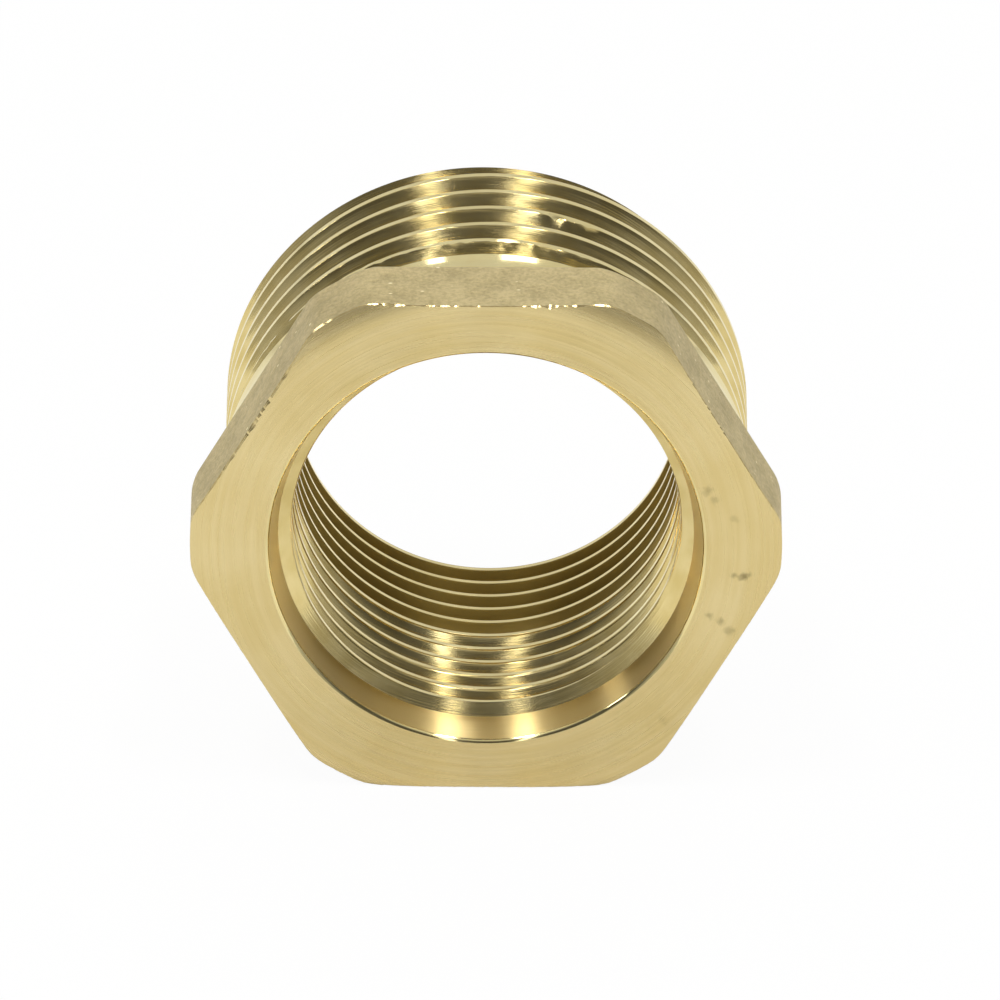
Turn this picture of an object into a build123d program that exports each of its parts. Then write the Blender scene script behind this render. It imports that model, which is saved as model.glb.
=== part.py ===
from build123d import *
import os

# Hex reducing bushing in brass, one forged and turned piece: a hex head, a male pipe thread behind
# it and a smaller female pipe thread straight through.
# It is drawn with its axis along Y and the outer face of the head at Y = 0, looking along -Y. The
# male end points along +Y, and one flat of the hex lies underneath. At the end it is moved so that
# the origin is on the axis, halfway along.

# Driving dimensions, in millimetres
across_flats = 34.0
corner_diameter = 37.2
head_length = 5.5
face_diameter = 35.6
face_chamfer_depth = 0.5
rear_break = 0.2

collar_diameter = 33.8
collar_length = 2.25
collar_break = 0.2

male_major_diameter = 33.1
male_minor_diameter = 30.291
male_end_length = 14.25
relief_below_roots = 0.25
relief_width = 1.5
run_out_length = 1.0
end_below_roots = 0.05
end_chamfer_length = 0.9

female_major_diameter = 26.441
female_minor_diameter = 24.5
mouth_diameter = 27.7
mouth_break = 0.2
mouth_break_depth = 0.16
mouth_depth = 2.25
lead_in_length = 0.35
bore_end_chamfer_length = 0.8
clear_of_roots = 0.02

# Places and radii that follow from them
collar_end = head_length + collar_length
total_length = collar_end + male_end_length
male_root = male_minor_diameter / 2
female_clear = female_major_diameter / 2 + clear_of_roots
NODE = "hex_bushing"


def turned(points):
    """A solid turned about the Y axis, from the (radius, y) points of its half section."""
    section = make_face(Polyline(*[(radius, y) for radius, y in points], close=True))
    return revolve(section, axis=Axis.Y)


def head():
    """The hex prism, with its corners turned down and chamfered towards the outer face."""
    prism = extrude(Plane.XZ * RegularPolygon(across_flats / 2, 6, major_radius=False), -head_length)
    corner = corner_diameter / 2
    blank = turned([
        (0, 0),
        (face_diameter / 2, 0),
        (corner, face_chamfer_depth),
        (corner, head_length - rear_break),
        (corner - rear_break, head_length),
        (0, head_length),
    ])
    return prism & blank


def shank():
    """The collar behind the hex, the thread relief, and the male end at the crests of its thread."""
    collar = collar_diameter / 2
    crest = male_major_diameter / 2
    relief = male_root - relief_below_roots
    relief_end = collar_end + relief_width
    return turned([
        (0, head_length / 2),
        (collar, head_length / 2),
        (collar, collar_end - collar_break),
        (collar - collar_break, collar_end),
        (relief, collar_end),
        (relief, relief_end),
        (crest, relief_end + run_out_length),
        (crest, total_length - end_chamfer_length),
        (male_root - end_below_roots, total_length),
        (0, total_length),
    ])


def bore():
    """What is turned out of the middle: the mouth, the lead-in, the bore at the crests of its
    thread, and the chamfer at the male end."""
    crest = female_minor_diameter / 2
    mouth = mouth_diameter / 2
    return turned([
        (0, 0),
        (mouth, 0),
        (mouth - mouth_break, mouth_break_depth),
        (female_clear, mouth_depth),
        (crest, mouth_depth + lead_in_length),
        (crest, total_length - bore_end_chamfer_length),
        (female_clear, total_length),
        (0, total_length),
    ])


bushing = Pos(0, -total_length / 2, 0) * (head() + shank() - bore())
bushing.label = NODE

os.makedirs("parts", exist_ok=True)
export_step(bushing, f"parts/{NODE}.step")
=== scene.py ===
import math

import bmesh
import bpy
from mathutils import Matrix, Vector, noise


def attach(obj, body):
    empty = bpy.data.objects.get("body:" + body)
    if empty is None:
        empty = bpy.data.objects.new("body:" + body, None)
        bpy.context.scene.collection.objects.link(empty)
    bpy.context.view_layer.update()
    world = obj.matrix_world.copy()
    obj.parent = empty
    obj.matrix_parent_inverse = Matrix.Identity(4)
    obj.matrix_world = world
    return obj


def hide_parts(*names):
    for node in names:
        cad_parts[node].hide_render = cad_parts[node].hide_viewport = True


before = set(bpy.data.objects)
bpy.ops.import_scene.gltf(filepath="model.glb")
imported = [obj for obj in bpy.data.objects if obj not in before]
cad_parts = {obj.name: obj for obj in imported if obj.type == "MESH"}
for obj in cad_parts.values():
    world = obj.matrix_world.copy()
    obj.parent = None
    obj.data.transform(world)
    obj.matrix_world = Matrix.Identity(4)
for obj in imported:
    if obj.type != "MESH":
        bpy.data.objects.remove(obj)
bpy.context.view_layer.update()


# Hex head with its mouth. The real piece is hot forged brass: the six flats keep the blasted skin
# of the forging, and the outer face, the rolled-off corners and the tapered mouth are turned.
# Sizes are in mm, angles in degrees round the axis from +X, and y runs from the outer face.
COLUMNS = 240
FINE_COLUMNS = 720
HALF_LENGTH = 11.0
FACED, BLASTED, TURNED = range(3)
across_flats = 34.0
corner_radius = 18.595
corner_blend = 0.35
corner_roll_start = 17.05
corner_roll_depth = 0.36
corner_roll_power = 1.7
head_length = 5.5
edge_break = 0.05
edge_raggedness = 1.2
rear_corner_start = 18.4
mouth_radius = 13.85
lip_middle_radius = 13.65
lip_middle_depth = 0.09
mouth_cone_radius = 13.62
mouth_cone_start = 0.24
mouth_cone_end_radius = 13.07
mouth_cone_end = 2.15
mouth_steps = 4
lip_steps = 6
face_radii = (13.9, 14.5, 15.2, 16.0)
face_shares = (0.2, 0.4, 0.55, 0.68, 0.8, 0.9, 1.0)
flat_shares = (0.0, 0.04, 0.2, 0.4, 0.6, 0.8, 0.96, 1.0)

# Chips in the edge of the outer face: middle, half width, and how much wider they make the break.
chips = [(109.9, 0.7, 0.20), (108.3, 0.5, 0.08), (76.8, 0.9, 0.17), (79.8, 0.6, 0.06), (96.0, 0.5, 0.03),
         (71.5, 1.0, 0.05), (101.5, 0.5, 0.04), (66.5, 1.1, 0.05), (124.0, 1.0, 0.05), (136.0, 0.9, 0.07),
         (143.0, 0.7, 0.06), (149.5, 1.2, 0.08), (158.0, 0.8, 0.05), (147.0, 18.0, 0.10)]


def from_flat(angle):
    """Degrees between this direction and the middle of the nearest hex flat."""
    turn = (angle - 30) % 60
    return min(turn, 60 - turn)


def hex_radius(angle):
    """How far the head reaches in this direction: to a flat, or to a turned-down corner, with a soft
    change between them."""
    flat = across_flats / 2 / math.cos(math.radians(from_flat(angle)))
    overlap = max(corner_blend - abs(flat - corner_radius), 0) / corner_blend
    return min(flat, corner_radius) - overlap ** 2 * corner_blend / 4


def roll_off(radius):
    """How far the outer face falls back at this radius, where the hex corners are turned off."""
    share = max(radius - corner_roll_start, 0) / (corner_radius - corner_roll_start)
    return corner_roll_depth * share ** corner_roll_power


def chip(angle):
    """Width of the broken edge round the outer face: slightly ragged, with a few torn chips."""
    width = edge_break * (1 + edge_raggedness * noise.noise(Vector((angle * 1.3, 3.1, 0))))
    for middle, spread, size in chips:
        width += size * math.exp(-((angle - middle) / spread) ** 2)
    return width


def rear_fall(angle):
    """How far the corner of the hex is broken towards the collar in this direction."""
    return max(hex_radius(angle) - rear_corner_start, 0)


def plain(radius, y):
    """A round ring, the same at every angle."""
    return lambda angle: (radius, y)


def head_rows():
    """The head as rings from the inner end of the mouth, over the face and the flats, to the collar.
    Each ring has its number of columns, the finish from there to the next ring, and a function from
    the angle to the radius and the place along the axis."""
    rows = []
    for step in range(mouth_steps + 1):
        t = step / mouth_steps
        radius = mouth_cone_end_radius + t * (mouth_cone_radius - mouth_cone_end_radius)
        y = mouth_cone_end + t * (mouth_cone_start - mouth_cone_end)
        rows.append((COLUMNS, FACED, plain(radius, y)))
    for step in range(1, lip_steps + 1):
        t = step / lip_steps
        radius = (1 - t) ** 2 * mouth_cone_radius + 2 * t * (1 - t) * lip_middle_radius + t * t * mouth_radius
        y = (1 - t) ** 2 * mouth_cone_start + 2 * t * (1 - t) * lip_middle_depth
        rows.append((COLUMNS, FACED if step == lip_steps else TURNED, plain(radius, y)))
    for radius in face_radii:
        rows.append((COLUMNS, FACED, plain(radius, 0)))
    for t in face_shares:
        def on_face(angle, t=t):
            reach = hex_radius(angle) - chip(angle)
            radius = face_radii[-1] + t * (reach - face_radii[-1])
            return radius, roll_off(radius)
        rows.append((FINE_COLUMNS, FACED, on_face))
    for t in flat_shares:
        def on_flat(angle, t=t):
            first = roll_off(hex_radius(angle)) + chip(angle)
            last = head_length - edge_break - rear_fall(angle)
            return hex_radius(angle), first + t * (last - first)
        rows.append((FINE_COLUMNS, BLASTED, on_flat))

    def on_rear_edge(angle):
        return hex_radius(angle) - edge_break, head_length - rear_fall(angle)

    def on_rear_face(angle):
        return min(hex_radius(angle), rear_corner_start) - edge_break, head_length

    rows.append((FINE_COLUMNS, TURNED, on_rear_edge))
    rows.append((FINE_COLUMNS, TURNED, on_rear_face))
    return rows


def surface(name, rows, materials):
    """A mesh of rings about the axis. Where the number of columns changes from one ring to the next,
    triangles fill the steps."""
    shape = bmesh.new()
    rings = []
    for columns, finish, place in rows:
        ring = []
        for column in range(columns):
            angle = 360 * column / columns
            radius, y = place(angle)
            a = math.radians(angle)
            ring.append(shape.verts.new((radius * math.cos(a) / 1000, (y - HALF_LENGTH) / 1000,
                                         radius * math.sin(a) / 1000)))
        rings.append(ring)
    for (columns, finish, place), inner, outer in zip(rows, rings, rings[1:]):
        most = max(len(inner), len(outer))
        for column in range(most):
            corners = [inner[column * len(inner) // most],
                       inner[(column + 1) * len(inner) // most % len(inner)],
                       outer[(column + 1) * len(outer) // most % len(outer)],
                       outer[column * len(outer) // most]]
            face = shape.faces.new(list(dict.fromkeys(corners)))
            face.material_index = finish
    mesh = bpy.data.meshes.new(name)
    shape.to_mesh(mesh)
    shape.free()
    for material in materials:
        mesh.materials.append(material)
    return mesh


def linear(code):
    """A colour written as sRGB hex, as the linear values that Blender mixes."""
    parts = [int(code[i:i + 2], 16) / 255 for i in (1, 3, 5)]
    return [p / 12.92 if p <= 0.04045 else ((p + 0.055) / 1.055) ** 2.4 for p in parts] + [1.0]


def add(tree, kind, inputs=None, **settings):
    """Adds a node to a tree with its settings, and links or sets its inputs."""
    node = tree.nodes.new(kind)
    for key, value in settings.items():
        setattr(node, key, value)
    for socket, value in (inputs or {}).items():
        if isinstance(value, bpy.types.NodeSocket):
            tree.links.new(value, node.inputs[socket])
        else:
            node.inputs[socket].default_value = value
    return node


def new_finish(name):
    """A material with an empty tree. Returns it with its tree and the place on the piece in mm."""
    material = bpy.data.materials.new(name)
    material.use_nodes = True
    tree = material.node_tree
    tree.nodes.clear()
    place = add(tree, "ShaderNodeTexCoord").outputs["Object"]
    in_mm = add(tree, "ShaderNodeVectorMath", {0: place, 1: (1000, 1000, 1000)}, operation="MULTIPLY")
    return material, tree, in_mm.outputs[0]


def about_axis(tree, in_mm):
    """Radius and place along the axis, the direction away from the axis, and the way that a turning
    tool passes there."""
    across = add(tree, "ShaderNodeVectorMath", {0: in_mm, 1: (1, 0, 1)}, operation="MULTIPLY").outputs[0]
    radius = add(tree, "ShaderNodeVectorMath", {0: across}, operation="LENGTH").outputs["Value"]
    along = add(tree, "ShaderNodeSeparateXYZ", {0: in_mm}).outputs["Y"]
    outward = add(tree, "ShaderNodeVectorMath", {0: across}, operation="NORMALIZE").outputs[0]
    tool_way = add(tree, "ShaderNodeVectorMath", {0: (0, 1, 0), 1: outward}, operation="CROSS_PRODUCT")
    return radius, along, outward, tool_way.outputs[0]


def tool_marks(tree, place, per_mm, outward, change, detail, roughness):
    """Noise in rings about the axis, about per_mm of them to the millimetre. The larger change is, the
    faster a ring varies on its way round."""
    scaled = add(tree, "ShaderNodeVectorMath", {0: place, 1: (per_mm,) * 3}, operation="MULTIPLY").outputs[0]
    slow = add(tree, "ShaderNodeVectorMath", {0: outward, 1: (change,) * 3}, operation="MULTIPLY").outputs[0]
    vector = add(tree, "ShaderNodeVectorMath", {0: scaled, 1: slow}, operation="ADD").outputs[0]
    return add(tree, "ShaderNodeTexNoise", {"Vector": vector, "Scale": 1.0, "Detail": detail,
                                            "Roughness": roughness}).outputs[0]


# Faced brass: the outer face and the mouth, turned on a lathe and left bright. It gives the eye a
# warm yellow mirror, softened by rings of tool marks about 0.1 mm apart, with a few small stains.
# Anisotropy at a quarter turn from the tool's way makes it rough across the marks, smooth along them.
face_marks_per_mm = 9.0
face_bands_per_mm = 2.2
face_mark_change = 1.3
face_clouds_per_mm = 0.22
face_mark_depth = 0.14
mouth_within = 13.7
mouth_painted_sheen = 0.75
mouth_roughness_more = 0.08
mouth_mark_depth_more = 0.86
stain_edges_per_mm = 2.4
stain_raggedness = 2.2
stain_fade = 2.1

# Stains on the face: x, z, size, and how much of the colour they take.
stains = [(13.9, 4.1, 0.55, 0.40), (14.35, 3.5, 0.5, 0.40), (15.5, 2.1, 0.4, 0.32),
          (16.25, -1.95, 0.6, 0.76), (15.55, -1.8, 0.35, 0.56), (14.0, -4.7, 0.45, 0.44),
          (14.8, -5.1, 0.45, 0.48), (15.3, -5.7, 0.45, 0.36), (11.2, -12.1, 0.4, 0.32)]

faced, tree, in_mm = new_finish("faced_brass")
radius, along, outward, tool_way = about_axis(tree, in_mm)
depth = add(tree, "ShaderNodeMath", {0: radius, 1: along}, operation="ADD").outputs[0]
ring_place = add(tree, "ShaderNodeCombineXYZ", {"Y": depth}).outputs[0]
rings = tool_marks(tree, ring_place, face_marks_per_mm, outward, face_mark_change, 3.0, 0.6)
bands = tool_marks(tree, ring_place, face_bands_per_mm, outward, face_mark_change, 2.0, 0.5)
cloud = add(tree, "ShaderNodeTexNoise", {"Vector": in_mm, "Scale": face_clouds_per_mm,
                                         "Detail": 3.0}).outputs[0]
tone = add(tree, "ShaderNodeMath", {0: bands, 1: cloud}, operation="ADD").outputs[0]
tone = add(tree, "ShaderNodeMapRange", {"Value": tone, "From Min": 0.75, "From Max": 1.25}).outputs[0]
colour = add(tree, "ShaderNodeMix", {0: tone, 6: linear("#DBC58A"), 7: linear("#E3CF99")},
             data_type="RGBA").outputs[2]
ragged_edge = add(tree, "ShaderNodeTexNoise", {"Vector": in_mm, "Scale": stain_edges_per_mm,
                                               "Detail": 3.0}).outputs[0]
stained = None
for x, z, size, strength in stains:
    away = add(tree, "ShaderNodeVectorMath", {0: in_mm, 1: (x, -HALF_LENGTH, z)},
               operation="DISTANCE").outputs["Value"]
    ragged = add(tree, "ShaderNodeMath", {0: ragged_edge, 1: stain_raggedness * size, 2: away},
                 operation="MULTIPLY_ADD").outputs[0]
    spot = add(tree, "ShaderNodeMapRange", {"Value": ragged, "From Min": stain_fade * size, "From Max": size,
                                            "To Max": strength}, interpolation_type="SMOOTHSTEP").outputs[0]
    if stained is None:
        stained = spot
    else:
        stained = add(tree, "ShaderNodeMath", {0: stained, 1: spot}, operation="MAXIMUM").outputs[0]
colour = add(tree, "ShaderNodeMix", {0: stained, 6: colour, 7: linear("#7D704A")},
             data_type="RGBA").outputs[2]
# Inside the mouth the colour is mixed towards a paler yellow as painted sheen; it is also rougher there, with
# deeper marks.
in_mouth = add(tree, "ShaderNodeMath", {0: radius, 1: mouth_within}, operation="LESS_THAN").outputs[0]
painted_sheen_share = add(tree, "ShaderNodeMath", {0: in_mouth, 1: mouth_painted_sheen}, operation="MULTIPLY").outputs[0]
colour = add(tree, "ShaderNodeMix", {0: painted_sheen_share, 6: colour, 7: linear("#F2DB9C")},
             data_type="RGBA").outputs[2]
rough = add(tree, "ShaderNodeMapRange", {"Value": rings, "From Min": 0.3, "From Max": 0.7, "To Min": 0.2,
                                         "To Max": 0.3}).outputs[0]
rough = add(tree, "ShaderNodeMath", {0: in_mouth, 1: mouth_roughness_more, 2: rough},
            operation="MULTIPLY_ADD").outputs[0]
mark_depth = add(tree, "ShaderNodeMath", {0: in_mouth, 1: mouth_mark_depth_more, 2: face_mark_depth},
                 operation="MULTIPLY_ADD").outputs[0]
bump = add(tree, "ShaderNodeBump", {"Strength": mark_depth, "Distance": 0.00002, "Height": rings}).outputs[0]
shader = add(tree, "ShaderNodeBsdfPrincipled", {"Base Color": colour, "Metallic": 1.0, "Roughness": rough,
                                                "Anisotropic": 0.97, "Anisotropic Rotation": 0.25,
                                                "Tangent": tool_way, "Normal": bump})
add(tree, "ShaderNodeOutputMaterial", {"Surface": shader.outputs[0]})

# Blasted brass: the skin that forging and shot blasting leave on the flats. It gives the eye a matt
# grey-beige with a grain of about 0.3 mm, slight lumps, and small painted glints: pale spots in the
# colour, also a little less rough.
grain_per_mm = 3.6
lumps_per_mm = 0.55
lumps_in_colour = 0.5
lumps_in_height = 2.5
glints_per_mm = (1.0, 1.9, 1.9)
glint_rarity = 4.0
largest_glint = 0.26
glint_raggedness = 0.22
glint_softness = 0.08

blasted, tree, in_mm = new_finish("blasted_brass")
grain = add(tree, "ShaderNodeTexNoise", {"Vector": in_mm, "Scale": grain_per_mm, "Detail": 5.0,
                                         "Roughness": 0.7}).outputs[0]
lumps = add(tree, "ShaderNodeTexNoise", {"Vector": in_mm, "Scale": lumps_per_mm, "Detail": 3.0}).outputs[0]
glint_place = add(tree, "ShaderNodeVectorMath", {0: in_mm, 1: glints_per_mm}, operation="MULTIPLY").outputs[0]
glint_cells = add(tree, "ShaderNodeTexVoronoi", {"Vector": glint_place, "Scale": 1.0, "Randomness": 1.0}).outputs
chance = add(tree, "ShaderNodeSeparateColor", {0: glint_cells["Color"]}).outputs[0]
glint_size = add(tree, "ShaderNodeMath", {0: chance, 1: glint_rarity}, operation="POWER").outputs[0]
glint_size = add(tree, "ShaderNodeMath", {0: glint_size, 1: largest_glint}, operation="MULTIPLY").outputs[0]
glint_edge = add(tree, "ShaderNodeMath", {0: grain, 1: glint_raggedness, 2: glint_cells["Distance"]},
                operation="MULTIPLY_ADD").outputs[0]
inside = add(tree, "ShaderNodeMath", {0: glint_size, 1: glint_edge}, operation="SUBTRACT").outputs[0]
painted_glint = add(tree, "ShaderNodeMapRange", {"Value": inside, "From Min": -glint_softness,
                                         "From Max": 0.0}).outputs[0]
tone = add(tree, "ShaderNodeMath", {0: lumps, 1: lumps_in_colour, 2: grain},
           operation="MULTIPLY_ADD").outputs[0]
tone = add(tree, "ShaderNodeMapRange", {"Value": tone, "From Min": 0.6, "From Max": 0.9}).outputs[0]
colour = add(tree, "ShaderNodeMix", {0: tone, 6: linear("#B1A174"), 7: linear("#D0BF8F")},
             data_type="RGBA").outputs[2]
# Painted glints: small spots where the colour turns pale yellow-white, as painted highlight.
colour = add(tree, "ShaderNodeMix", {0: painted_glint, 6: colour, 7: linear("#FFF3C4")}, data_type="RGBA").outputs[2]
rough = add(tree, "ShaderNodeMapRange", {"Value": painted_glint, "To Min": 0.55, "To Max": 0.3}).outputs[0]
height = add(tree, "ShaderNodeMath", {0: lumps, 1: lumps_in_height, 2: grain},
             operation="MULTIPLY_ADD").outputs[0]
bump = add(tree, "ShaderNodeBump", {"Strength": 0.9, "Distance": 0.0001, "Height": height}).outputs[0]
shader = add(tree, "ShaderNodeBsdfPrincipled", {"Base Color": colour, "Metallic": 0.85, "Roughness": rough,
                                                "Normal": bump})
add(tree, "ShaderNodeOutputMaterial", {"Surface": shader.outputs[0]})


# Collar, relief and male end face. They are turned in one setting with the threads: a bright collar
# that flares a little at its rear edge, a groove for the die to run out in, and a faced end.
collar_radius = 16.8
flare_start = 6.9
flare_radius = 16.86
collar_end = 7.75
relief_radius = 14.8955
relief_end = 9.0
total_length = 22.0
end_radius = 15.0955
bore_end_radius = 13.2405

# Turned brass: collar, thread crests, lip and end face, cut with a sharp tool. It gives the eye a
# bright, nearly clean mirror, drawn out a little across tool marks about 0.1 mm apart.
turned_marks_per_mm = 9.0
turned_mark_change = 7.0
clouds_per_mm = 0.45

turned, tree, in_mm = new_finish("turned_brass")
radius, along, outward, tool_way = about_axis(tree, in_mm)
line_place = add(tree, "ShaderNodeCombineXYZ", {"X": radius, "Y": along}).outputs[0]
lines = tool_marks(tree, line_place, turned_marks_per_mm, outward, turned_mark_change, 3.0, 0.6)
cloud = add(tree, "ShaderNodeTexNoise", {"Vector": in_mm, "Scale": clouds_per_mm, "Detail": 3.0}).outputs[0]
tone = add(tree, "ShaderNodeMapRange", {"Value": cloud, "From Min": 0.2, "From Max": 0.8}).outputs[0]
colour = add(tree, "ShaderNodeMix", {0: tone, 6: linear("#E6D395"), 7: linear("#F0E2AB")},
             data_type="RGBA").outputs[2]
rough = add(tree, "ShaderNodeMapRange", {"Value": lines, "From Min": 0.3, "From Max": 0.7, "To Min": 0.08,
                                         "To Max": 0.14}).outputs[0]
bump = add(tree, "ShaderNodeBump", {"Strength": 0.2, "Distance": 0.00001, "Height": lines}).outputs[0]
shader = add(tree, "ShaderNodeBsdfPrincipled", {"Base Color": colour, "Metallic": 1.0, "Roughness": rough,
                                                "Anisotropic": 0.6, "Anisotropic Rotation": 0.25,
                                                "Tangent": tool_way, "Normal": bump})
add(tree, "ShaderNodeOutputMaterial", {"Surface": shader.outputs[0]})

collar_rings = [(collar_radius, head_length), (collar_radius, 5.6), (collar_radius, 6.3),
                (collar_radius, flare_start), (collar_radius + 0.01, 7.0), (flare_radius - 0.01, 7.52),
                (flare_radius, 7.6), (flare_radius - 0.03, 7.68), (flare_radius - 0.15, collar_end)]
relief_rings = [(16.0, collar_end), (15.3, collar_end), (relief_radius + 0.1, collar_end),
                (relief_radius + 0.03, collar_end + 0.03), (relief_radius, collar_end + 0.1),
                (relief_radius, 8.6), (relief_radius, relief_end)]
end_ring_radii = (end_radius, 14.6, 14.0, 13.6, bore_end_radius)

rows = head_rows() + [(COLUMNS, TURNED, plain(radius, y)) for radius, y in collar_rings + relief_rings]
head_mesh = surface("head", rows, [faced, blasted, turned])
rows = [(COLUMNS, TURNED, plain(radius, total_length)) for radius in end_ring_radii]
end_mesh = surface("male_end", rows, [faced, blasted, turned])


# The two threads, G1 outside and G3/4 inside, cut with a die and a tap: 55 degree flanks, round
# roots and flat crests. One node group sweeps the section of one pitch along the helix. The swept
# walls are then cut off along the lines turned at both ends, where they meet the plain rings.
FLANK = math.radians(27.5)
ROOT_ROUNDING = 0.137329
male_pitch = 2.309
male_crest = 16.55
male_root = 15.1455
male_sharp = 16.9942
male_land_edge = 0.05
male_first = 10.24
male_run_out = 0.95
male_end_chamfer = 0.9
bore_pitch = 1.814
bore_crest = 12.25
bore_root = 13.2205
bore_sharp = 11.7681
bore_land_edge = 0.16
bore_first = 2.62
lead_in_end = 2.55
bore_end_chamfer = 0.8
on_crest = 0.002

# Die-cut brass: flanks and roots torn into fine lines by the die and the tap. It gives the eye a
# dark olive mirror of the room, broken across the lines, so that a lamp shows as an upright streak.
# Deep in the bore it is rougher, and its colour turns a darker brown there as painted shade.
cut_marks_per_mm = 12.0
cut_mark_change = 5.0
shade_and_dull_from = 0.6
shade_and_dull_to = 2.2
bore_within = 14.0

cut, tree, in_mm = new_finish("die_cut_brass")
radius, along, outward, tool_way = about_axis(tree, in_mm)
line_place = add(tree, "ShaderNodeCombineXYZ", {"X": radius, "Y": along}).outputs[0]
lines = tool_marks(tree, line_place, cut_marks_per_mm, outward, cut_mark_change, 2.0, 0.5)
cloud = add(tree, "ShaderNodeTexNoise", {"Vector": in_mm, "Scale": clouds_per_mm, "Detail": 3.0}).outputs[0]
tone = add(tree, "ShaderNodeMapRange", {"Value": cloud, "From Min": 0.35, "From Max": 0.65}).outputs[0]
colour = add(tree, "ShaderNodeMix", {0: tone, 6: linear("#D8C281"), 7: linear("#E6D398")},
             data_type="RGBA").outputs[2]
# Painted shade: deep in the bore the colour is mixed towards a darker brown; the roughness also rises there.
deep = add(tree, "ShaderNodeMapRange", {"Value": along, "From Min": shade_and_dull_from,
                                        "From Max": shade_and_dull_to}).outputs[0]
in_bore = add(tree, "ShaderNodeMath", {0: radius, 1: bore_within}, operation="LESS_THAN").outputs[0]
painted_shade_and_dull = add(tree, "ShaderNodeMath", {0: deep, 1: in_bore}, operation="MULTIPLY").outputs[0]
colour = add(tree, "ShaderNodeMix", {0: painted_shade_and_dull, 6: colour, 7: linear("#A68E4C")}, data_type="RGBA").outputs[2]
rough = add(tree, "ShaderNodeMapRange", {"Value": painted_shade_and_dull, "To Min": 0.16, "To Max": 0.5}).outputs[0]
bump = add(tree, "ShaderNodeBump", {"Strength": 1.0, "Distance": 0.00001, "Height": lines}).outputs[0]
shader = add(tree, "ShaderNodeBsdfPrincipled", {"Base Color": colour, "Metallic": 1.0, "Roughness": rough,
                                                "Anisotropic": 0.8, "Anisotropic Rotation": 0.25,
                                                "Tangent": tool_way, "Normal": bump})
add(tree, "ShaderNodeOutputMaterial", {"Surface": shader.outputs[0]})


def thread_section(pitch, crest, root, sharp, side, land_edge, flank_points, root_points):
    """(radius, place) points of one pitch, from the middle of a crest: land, its rounded edge,
    flank, round root, and back to the land. side is 1 for a male thread, -1 for a female one."""
    land = side * (sharp - crest) * math.tan(FLANK)
    arc = ROOT_ROUNDING * pitch
    foot = pitch / 2 - arc * math.cos(FLANK)
    half = [(crest, 0.0)]
    for lean in (0, math.pi / 4 - FLANK / 2, math.pi / 2 - FLANK):
        half.append((crest - side * land_edge * (1 - math.cos(lean)),
                     land - land_edge * math.tan(math.pi / 4 - FLANK / 2) + land_edge * math.sin(lean)))
    flank_start = half[-1][1]
    for step in range(1, flank_points + 1):
        at = flank_start + (foot - flank_start) * step / (flank_points + 1)
        half.append((sharp - side * at / math.tan(FLANK), at))
    bottom = []
    for step in range(root_points):
        lean = (math.pi / 2 - FLANK) * (2 * step / (root_points - 1) - 1)
        bottom.append((root + side * arc * (1 - math.cos(lean)), pitch / 2 + arc * math.sin(lean)))
    return half + bottom + [(radius, pitch - at) for radius, at in reversed(half[1:])]


threads = bpy.data.node_groups.new("turned_thread", "GeometryNodeTree")
for label, kind in (("Section", "Geometry"), ("Columns", "Int"), ("Points per pitch", "Int"),
                    ("Pitches", "Int"), ("Pitch", "Float"), ("First row", "Float"), ("Finish", "Material")):
    threads.interface.new_socket(name=label, in_out="INPUT", socket_type="NodeSocket" + kind)
threads.interface.new_socket(name="Geometry", in_out="OUTPUT", socket_type="NodeSocketGeometry")
given = add(threads, "NodeGroupInput").outputs
per_pitch = given["Points per pitch"]
steps = add(threads, "ShaderNodeMath", {0: per_pitch, 1: given["Pitches"]}, operation="MULTIPLY").outputs[0]
rows_count = add(threads, "ShaderNodeMath", {0: steps, 1: 1.0}, operation="ADD").outputs[0]
columns_count = add(threads, "ShaderNodeMath", {0: given["Columns"], 1: 1.0}, operation="ADD").outputs[0]
grid = add(threads, "GeometryNodeMeshGrid", {"Size X": given["Columns"], "Size Y": steps,
                                             "Vertices X": columns_count,
                                             "Vertices Y": rows_count}).outputs["Mesh"]
place = add(threads, "GeometryNodeInputPosition").outputs[0]
on_grid = add(threads, "ShaderNodeSeparateXYZ", {0: place}).outputs
column = add(threads, "ShaderNodeMath", {0: given["Columns"], 1: 0.5, 2: on_grid["X"]},
             operation="MULTIPLY_ADD").outputs[0]
column = add(threads, "ShaderNodeMath", {0: column}, operation="ROUND").outputs[0]
row = add(threads, "ShaderNodeMath", {0: steps, 1: 0.5, 2: on_grid["Y"]}, operation="MULTIPLY_ADD").outputs[0]
row = add(threads, "ShaderNodeMath", {0: row}, operation="ROUND").outputs[0]
share = add(threads, "ShaderNodeMath", {0: column, 1: given["Columns"]}, operation="DIVIDE").outputs[0]
angle = add(threads, "ShaderNodeMath", {0: share, 1: 2 * math.pi}, operation="MULTIPLY").outputs[0]
turn = add(threads, "ShaderNodeMath", {0: row, 1: 0.5}, operation="ADD").outputs[0]
turn = add(threads, "ShaderNodeMath", {0: turn, 1: per_pitch}, operation="DIVIDE").outputs[0]
turn = add(threads, "ShaderNodeMath", {0: turn}, operation="FLOOR").outputs[0]
whole = add(threads, "ShaderNodeMath", {0: turn, 1: per_pitch}, operation="MULTIPLY").outputs[0]
point = add(threads, "ShaderNodeMath", {0: row, 1: whole}, operation="SUBTRACT").outputs[0]
section = add(threads, "GeometryNodeSampleIndex", {"Geometry": given["Section"], "Index": point},
              data_type="FLOAT_VECTOR", domain="POINT")
threads.links.new(place, section.inputs["Value"])
section = add(threads, "ShaderNodeSeparateXYZ", {0: section.outputs["Value"]}).outputs
lead = add(threads, "ShaderNodeMath", {0: turn, 1: share}, operation="SUBTRACT").outputs[0]
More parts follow.
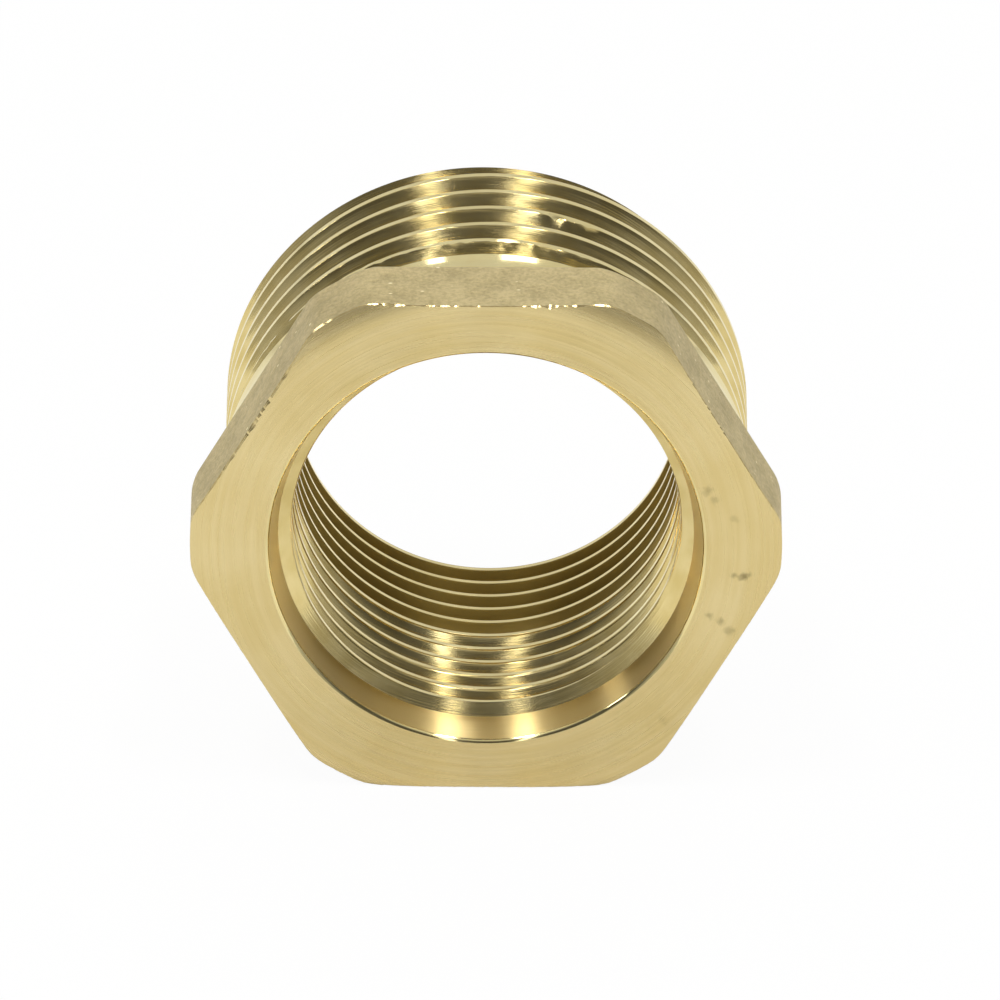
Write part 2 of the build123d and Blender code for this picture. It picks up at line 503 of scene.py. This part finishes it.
lead = add(threads, "ShaderNodeMath", {0: lead, 1: given["Pitch"], 2: given["First row"]},
           operation="MULTIPLY_ADD").outputs[0]
along = add(threads, "ShaderNodeMath", {0: lead, 1: section["Y"]}, operation="ADD").outputs[0]
cosine = add(threads, "ShaderNodeMath", {0: angle}, operation="COSINE").outputs[0]
sine = add(threads, "ShaderNodeMath", {0: angle}, operation="SINE").outputs[0]
x = add(threads, "ShaderNodeMath", {0: section["X"], 1: cosine}, operation="MULTIPLY").outputs[0]
z = add(threads, "ShaderNodeMath", {0: section["X"], 1: sine}, operation="MULTIPLY").outputs[0]
in_mm = add(threads, "ShaderNodeCombineXYZ", {0: x, 1: along, 2: z}).outputs[0]
moved = add(threads, "GeometryNodeSetPosition", {"Geometry": grid, "Position": in_mm}).outputs[0]
real = add(threads, "GeometryNodeRealizeInstances", {"Geometry": moved}).outputs[0]
finished = add(threads, "GeometryNodeSetMaterial", {"Geometry": real, "Material": given["Finish"]}).outputs[0]
add(threads, "NodeGroupOutput", {0: finished})


def swept_wall(name, section, pitch, first_crest, seen_at, start, end):
    """A thread swept along its helix as a plain mesh in mm, with a crest at first_crest in the
    direction seen_at, in degrees. Returns it with its number of rows."""
    outline = bpy.data.meshes.new(name + "_section")
    outline.from_pydata([(radius, at, 0) for radius, at in section],
                        [(i, i + 1) for i in range(len(section) - 1)], [])
    carrier = bpy.data.objects.new(name, outline)
    bpy.context.scene.collection.objects.link(carrier)
    modifier = carrier.modifiers.new("thread", "NODES")
    modifier.node_group = threads
    at_zero = first_crest + pitch * seen_at / 360
    first_row = at_zero - pitch * math.ceil((at_zero - start) / pitch)
    pitches = math.ceil((end - first_row) / pitch) + 1
    values = {"Columns": COLUMNS, "Points per pitch": len(section), "Pitches": pitches, "Pitch": pitch,
              "First row": first_row, "Finish": cut}
    for socket in threads.interface.items_tree:
        if socket.in_out == "INPUT" and socket.name in values:
            modifier[socket.identifier] = values[socket.name]
    bpy.context.view_layer.update()
    seen = carrier.evaluated_get(bpy.context.evaluated_depsgraph_get())
    wall = bpy.data.meshes.new_from_object(seen)
    bpy.data.objects.remove(carrier)
    bpy.data.meshes.remove(outline)
    return wall, len(section) * pitches + 1


def trim(wall, rows, crest, side, start, end, start_line, end_line):
    """Cuts a swept wall off along the turned lines, (radius, slope) from start and back from end,
    moves the points beside a cut onto its edge, and gives the lands the turned finish. Close to
    start no groove is deeper than the ring that the wall is joined to there."""
    def excess(radius, y):
        return max(side * (radius - start_line[0] - start_line[1] * (y - start)),
                   side * (radius - end_line[0] - end_line[1] * (end - y)))

    for column in range(COLUMNS + 1):
        points = wall.vertices[column * rows:(column + 1) * rows]
        profile = [(math.hypot(point.co.x, point.co.z), point.co.y) for point in points]
        over = [excess(radius, y) for radius, y in profile]
        for i, point in enumerate(points):
            radius, y = profile[i]
            if over[i] > 0:
                kept = [j for j in (i - 1, i + 1) if 0 <= j < rows and over[j] <= 0]
                if kept:
                    share = over[i] / (over[i] - over[kept[0]])
                    radius += share * (profile[kept[0]][0] - radius)
                    y += share * (profile[kept[0]][1] - y)
                else:
                    y = min(max(y, start), end)
                    radius -= side * excess(radius, y)
            y = min(max(y, start), end)
            deepest = start_line[0] - side * (y - start)
            radius = side * max(side * radius, side * deepest)
            scale = radius / profile[i][0] / 1000
            point.co = (point.co.x * scale, (y - HALF_LENGTH) / 1000, point.co.z * scale)
    wall.materials.append(turned)
    for face in wall.polygons:
        corners = [wall.vertices[i].co * 1000 for i in face.vertices]
        if max(abs(math.hypot(corner.x, corner.z) - crest) for corner in corners) < on_crest:
            face.material_index = len(wall.materials) - 1


male_wall, male_rows = swept_wall(
    "male_thread", thread_section(male_pitch, male_crest, male_root, male_sharp, 1, male_land_edge, 3, 7),
    male_pitch, male_first, 90, relief_end, total_length)
trim(male_wall, male_rows, male_crest, 1, relief_end, total_length,
     (relief_radius, (male_crest - relief_radius) / male_run_out),
     (end_radius, (male_crest - end_radius) / male_end_chamfer))
bore_wall, bore_rows = swept_wall(
    "female_thread", thread_section(bore_pitch, bore_crest, bore_root, bore_sharp, -1, bore_land_edge, 1, 5),
    bore_pitch, bore_first, 270, mouth_cone_end, total_length)
trim(bore_wall, bore_rows, bore_crest, -1, mouth_cone_end, total_length,
     (mouth_cone_end_radius, (bore_crest - mouth_cone_end_radius) / (lead_in_end - mouth_cone_end)),
     (bore_end_radius, (bore_crest - bore_end_radius) / bore_end_chamfer))


# The bushing itself: the head, both threads, the collar and the end face are one piece of brass, so
# their walls are joined into one closed skin, with the tears that the die left on the crests.
# Nicks: direction, place of the torn crest straight above the axis, half width, and depth.
nicks = [(75.2, 14.86, 0.9, 0.30), (72.3, 14.86, 1.3, 0.22), (68.6, 14.86, 1.8, 0.34),
         (125.0, 12.55, 1.0, 0.10), (104.0, 17.17, 0.9, 0.06)]
nick_before_crest = 0.25
nick_length = 0.22
nicked_beyond = 15.6
nicked_behind = 9.6
torn_middle = 9.9
torn_reach = 0.7
torn_depth = 0.2
torn_beyond = 14.95
faced_crease = math.radians(14)
thread_crease = math.radians(34)
faced_to = 7.7
least_dent = 0.001

# Lengths in metres: points nearer than the first are one, and edges shorter than the second go.
same_point = 0.000002
no_edge = 0.0000001

finishes = [faced, blasted, turned, cut]
skin = bmesh.new()
for part in (head_mesh, end_mesh, male_wall, bore_wall):
    before = len(skin.faces)
    slots = [finishes.index(material) if material else 0 for material in part.materials]
    skin.from_mesh(part)
    skin.faces.ensure_lookup_table()
    for face in skin.faces[before:]:
        face.material_index = slots[face.material_index]
    bpy.data.meshes.remove(part)
bmesh.ops.remove_doubles(skin, verts=skin.verts, dist=same_point)
bmesh.ops.dissolve_degenerate(skin, edges=skin.edges, dist=no_edge)
bmesh.ops.recalc_face_normals(skin, faces=skin.faces)

for vertex in skin.verts:
    x, y, z = vertex.co.x * 1000, vertex.co.y * 1000 + HALF_LENGTH, vertex.co.z * 1000
    radius = math.hypot(x, z)
    angle = math.degrees(math.atan2(z, x)) % 360
    dent = 0.0
    if radius > nicked_beyond and y > nicked_behind:
        for at, crest, spread, deep in nicks:
            here = crest - male_pitch * (angle - 90) / 360 - nick_before_crest
            torn = 0.7 + noise.noise(Vector((angle * 1.4, y * 7.0, radius * 3.0)))
            dent += torn * deep * math.exp(-((angle - at) / spread) ** 2 - ((y - here) / nick_length) ** 2)
    if radius > torn_beyond and abs(y - torn_middle) < torn_reach:
        torn = noise.noise(Vector((angle * 0.9, y * 4.0, radius * 3.0)))
        dent += torn_depth * max(torn, 0) * (1 - abs(y - torn_middle) / torn_reach)
    if dent > least_dent:
        vertex.co.x *= 1 - dent / radius
        vertex.co.z *= 1 - dent / radius

for face in skin.faces:
    face.smooth = True
for edge in skin.edges:
    if len(edge.link_faces) == 2:
        one, other = edge.link_faces
        furthest = max(one.calc_center_median().y, other.calc_center_median().y) * 1000 + HALF_LENGTH
        limit = faced_crease if furthest < faced_to and one.material_index != BLASTED else thread_crease
        same = one.material_index == other.material_index
        edge.smooth = same and edge.calc_face_angle(0.0) < limit

bushing_mesh = bpy.data.meshes.new("hex_bushing_turned")
skin.to_mesh(bushing_mesh)
skin.free()
for material in finishes:
    bushing_mesh.materials.append(material)
bushing = bpy.data.objects.new("hex_bushing_turned", bushing_mesh)
bpy.context.scene.collection.objects.link(bushing)
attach(bushing, "root")
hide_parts("hex_bushing")


# Table: white paper that runs back out of sight under the bushing. The camera sees it as white with
# a trace of the shadow; the metal sees it as lit paper.
table_height = -0.017
table_front = -0.25
table_reach = 6.0
white_share = 0.96

floor_mesh = bpy.data.meshes.new("table_top")
floor_mesh.from_pydata([(-table_reach, table_front, table_height), (table_reach, table_front, table_height),
                        (table_reach, table_reach, table_height), (-table_reach, table_reach, table_height)],
                       [], [(0, 1, 2, 3)])
table_top = bpy.data.objects.new("table_top", floor_mesh)
bpy.context.scene.collection.objects.link(table_top)
paper = bpy.data.materials.new("white_paper")
paper.use_nodes = True
tree = paper.node_tree
tree.nodes.clear()
camera_ray = add(tree, "ShaderNodeLightPath").outputs["Is Camera Ray"]
seen = add(tree, "ShaderNodeMath", {0: camera_ray, 1: white_share}, operation="MULTIPLY").outputs[0]
matt = add(tree, "ShaderNodeBsdfDiffuse", {"Color": linear("#F4F4F2")}).outputs[0]
white = add(tree, "ShaderNodeEmission", {"Color": (1, 1, 1, 1), "Strength": 1.0}).outputs[0]
mixed = add(tree, "ShaderNodeMixShader", {0: seen, 1: matt, 2: white}).outputs[0]
add(tree, "ShaderNodeOutputMaterial", {"Surface": mixed})
floor_mesh.materials.append(paper)


# Room: white to the camera. The metal sees walls that are bright behind the bushing and dark in
# front of it, which gives the grooves their dark olive. Levels are (upward part of a direction,
# brightness), from level with the table to straight up.
front_levels = ((0.0, 0.5), (0.2, 0.36), (0.36, 0.1), (0.62, 0.07), (0.78, 0.5), (0.88, 0.8), (0.93, 0.6),
                (0.97, 0.1))
back_levels = ((0.0, 0.9), (0.3, 0.75), (0.47, 0.68), (0.6, 0.75), (0.86, 0.6), (0.97, 0.1))
blend = 0.3
blue_share = 0.98

world = bpy.data.worlds.new("studio")
bpy.context.scene.world = world
world.use_nodes = True
tree = world.node_tree
tree.nodes.clear()
way = add(tree, "ShaderNodeSeparateXYZ", {0: add(tree, "ShaderNodeTexCoord").outputs["Generated"]}).outputs
behind = add(tree, "ShaderNodeMapRange", {"Value": way["Y"], "From Min": -blend, "From Max": blend},
             interpolation_type="SMOOTHSTEP").outputs[0]
walls = []
for levels in (front_levels, back_levels):
    ramp = add(tree, "ShaderNodeValToRGB", {0: way["Z"]})
    walls.append(ramp.outputs[0])
    stones = ramp.color_ramp.elements
    while len(stones) < len(levels):
        stones.new(0.5)
    for stone, (at, level) in zip(stones, levels):
        stone.position = at
        stone.color = (level, level, level * blue_share, 1)
level = add(tree, "ShaderNodeMix", {0: behind, 6: walls[0], 7: walls[1]}, data_type="RGBA").outputs[2]
room = add(tree, "ShaderNodeBackground", {"Color": level, "Strength": 1.0}).outputs[0]
backdrop = add(tree, "ShaderNodeBackground", {"Color": (1, 1, 1, 1), "Strength": 1.0}).outputs[0]
camera_ray = add(tree, "ShaderNodeLightPath").outputs["Is Camera Ray"]
mixed = add(tree, "ShaderNodeMixShader", {0: camera_ray, 1: room, 2: backdrop}).outputs[0]
add(tree, "ShaderNodeOutputWorld", {"Surface": mixed})


# Lamps: seven strip lamps hang level over the table, face down and run from front to back along Y.
# A front, a middle and a back pair stand side by side, nearly even about the axis, and one wide
# lamp hangs far to the left. The metal shows them as its bright streaks.
lamp_height = 0.8

# Name, then in metres x, width, front and back, then brightness, where 1 is white.
lamps = [("left_front_lamp", -0.285, 0.08, -2.1, -0.45, 2.6),
         ("right_front_lamp", 0.265, 0.105, -2.1, -0.45, 2.6),
         ("left_middle_lamp", -0.22, 0.1, -0.36, -0.02, 17.0),
         ("right_middle_lamp", 0.22, 0.1, -0.36, -0.02, 17.0),
         ("far_left_lamp", -1.12, 0.34, -0.36, -0.02, 7.0),
         ("left_back_lamp", -0.279, 0.095, 0.45, 1.18, 3.6),
         ("right_back_lamp", 0.17, 0.19, 0.45, 1.18, 3.6)]
for name, x, width, front, back, brightness in lamps:
    data = bpy.data.lights.new(name, "AREA")
    data.shape = "RECTANGLE"
    data.size = width
    data.size_y = back - front
    data.energy = brightness * math.pi * width * (back - front)
    lamp = bpy.data.objects.new(name, data)
    lamp.location = (x, (front + back) / 2, lamp_height)
    lamp.visible_camera = False
    bpy.context.scene.collection.objects.link(lamp)


# Camera: a long lens 1.2 m away, 27.2 degrees above the table, looking along the bushing's axis. It
# stands a little right and up, so that the bushing has its place in the picture without a shift.
elevation = math.radians(27.2)
roll = math.radians(0.267)
distance = 1.2
pixels_per_mm = 15.93
picture_width = 1000
aim_right = 0.000882
aim_up = 0.003032
face_centre = Vector((0, -HALF_LENGTH / 1000, 0))
forward = Vector((0, math.cos(elevation), -math.sin(elevation)))
level_right = Vector((1, 0, 0))
level_up = Vector((0, math.sin(elevation), math.cos(elevation)))
right = math.cos(roll) * level_right + math.sin(roll) * level_up
up = -math.sin(roll) * level_right + math.cos(roll) * level_up
lens = bpy.data.cameras.new("camera")
lens.sensor_width = 36
lens.lens = pixels_per_mm * distance * 1000 * lens.sensor_width / picture_width
lens.clip_start = 0.01
lens.clip_end = 20
camera = bpy.data.objects.new("camera", lens)
stand = face_centre - distance * forward + aim_right * right + aim_up * up
camera.matrix_world = Matrix.Translation(stand) @ Matrix((right, up, -forward)).transposed().to_4x4()
bpy.context.scene.collection.objects.link(camera)
bpy.context.scene.camera = camera
bpy.context.scene.view_settings.view_transform = "Standard"
